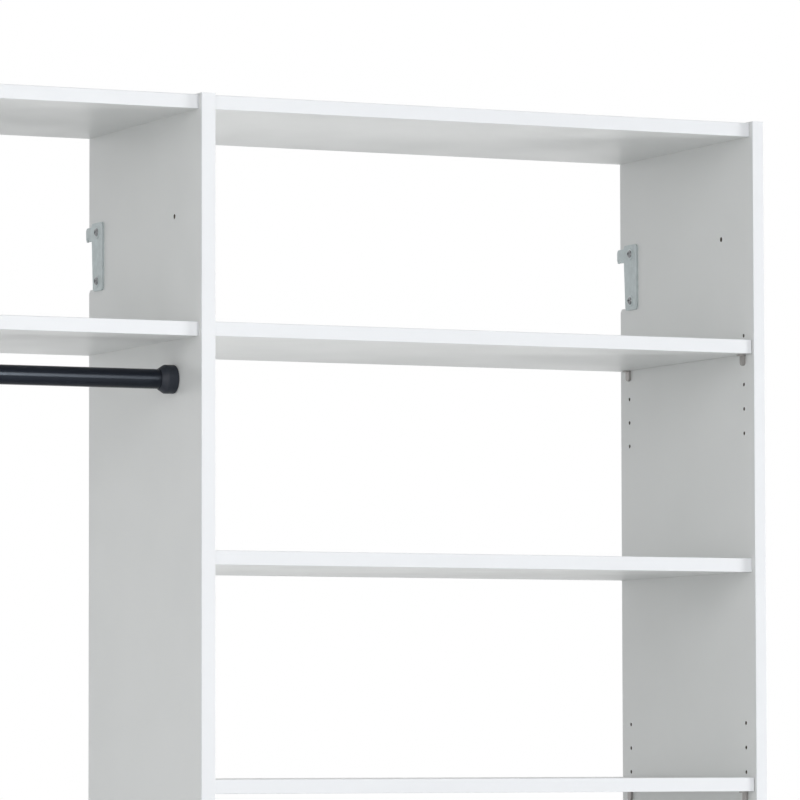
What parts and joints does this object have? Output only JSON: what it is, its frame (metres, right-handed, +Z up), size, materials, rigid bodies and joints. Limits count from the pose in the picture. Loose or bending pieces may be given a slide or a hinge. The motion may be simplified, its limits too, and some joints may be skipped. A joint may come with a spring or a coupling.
{
  "type": "wall mounted closet system",
  "caption": "Wall-hung closet: white side panels with hook plates, fixed and adjustable shelves, and a black telescopic hanging rod.",
  "frame": {"origin": "middle of the shared upright, on the plane of the panels' back edges, at the height where the hooks sit on the wall rail", "axes": "+Z up, +X to the right seen from the room, +Y towards the wall"},
  "size_m": [1.423, 0.386, 1.829],
  "materials": {
    "board": "white melamine on particle board, fine satin pebble",
    "edge_band": "white satin edge band",
    "bracket_steel": "zinc plated pressed steel",
    "screw_steel": "zinc plated steel",
    "support_metal": "nickel plated",
    "cam_metal": "die cast zinc",
    "rod_black": "black satin powder coat",
    "cup_black": "black satin moulding"
  },
  "bodies": {
    "carcass": {"left_end_panel": "board", "shared_upright": "board", "right_end_panel": "board", "panel_edge_bands": "edge_band", "left_top_shelf": "board", "left_rod_shelf": "board", "left_bottom_shelf": "board", "right_top_shelf": "board", "right_upper_fixed_shelf": "board", "right_lower_fixed_shelf": "board", "right_bottom_shelf": "board", "fixed_shelf_edge_bands": "edge_band", "cam_housings": "cam_metal", "cam_bolts": "screw_steel", "shelf_supports_upper": "support_metal", "shelf_supports_middle": "support_metal", "shelf_supports_lower": "support_metal", "hanger_bracket_left": "bracket_steel", "hanger_bracket_middle": "bracket_steel", "hanger_bracket_right": "bracket_steel", "hanger_screws": "screw_steel", "rod_cup_left": "cup_black", "rod_cup_right": "cup_black", "rod_cup_screws": "screw_steel", "rod_set_screws": "screw_steel", "rod_outer_tube": "rod_black", "rod_mouth_ring": "cup_black"},
    "adjustable_shelf_upper_body": {"adjustable_shelf_upper": "board", "adjustable_band_upper": "edge_band"},
    "adjustable_shelf_middle_body": {"adjustable_shelf_middle": "board", "adjustable_band_middle": "edge_band"},
    "adjustable_shelf_lower_body": {"adjustable_shelf_lower": "board", "adjustable_band_lower": "edge_band"},
    "rod_inner_body": {"rod_inner_tube": "rod_black", "rod_end_sleeve": "cup_black"}
  },
  "joints": [
    {"name": "adjustable_shelf_upper_slide", "type": "slide", "parent": "carcass", "child": "adjustable_shelf_upper_body", "axis": [0, -1, 0], "range_m": [0, 0.38]},
    {"name": "adjustable_shelf_middle_slide", "type": "slide", "parent": "carcass", "child": "adjustable_shelf_middle_body", "axis": [0, -1, 0], "range_m": [0, 0.38]},
    {"name": "adjustable_shelf_lower_slide", "type": "slide", "parent": "carcass", "child": "adjustable_shelf_lower_body", "axis": [0, -1, 0], "range_m": [0, 0.38]},
    {"name": "rod_telescope", "type": "slide", "parent": "carcass", "child": "rod_inner_body", "axis": [1, 0, 0], "range_m": [0, 0.16]}
  ]
}
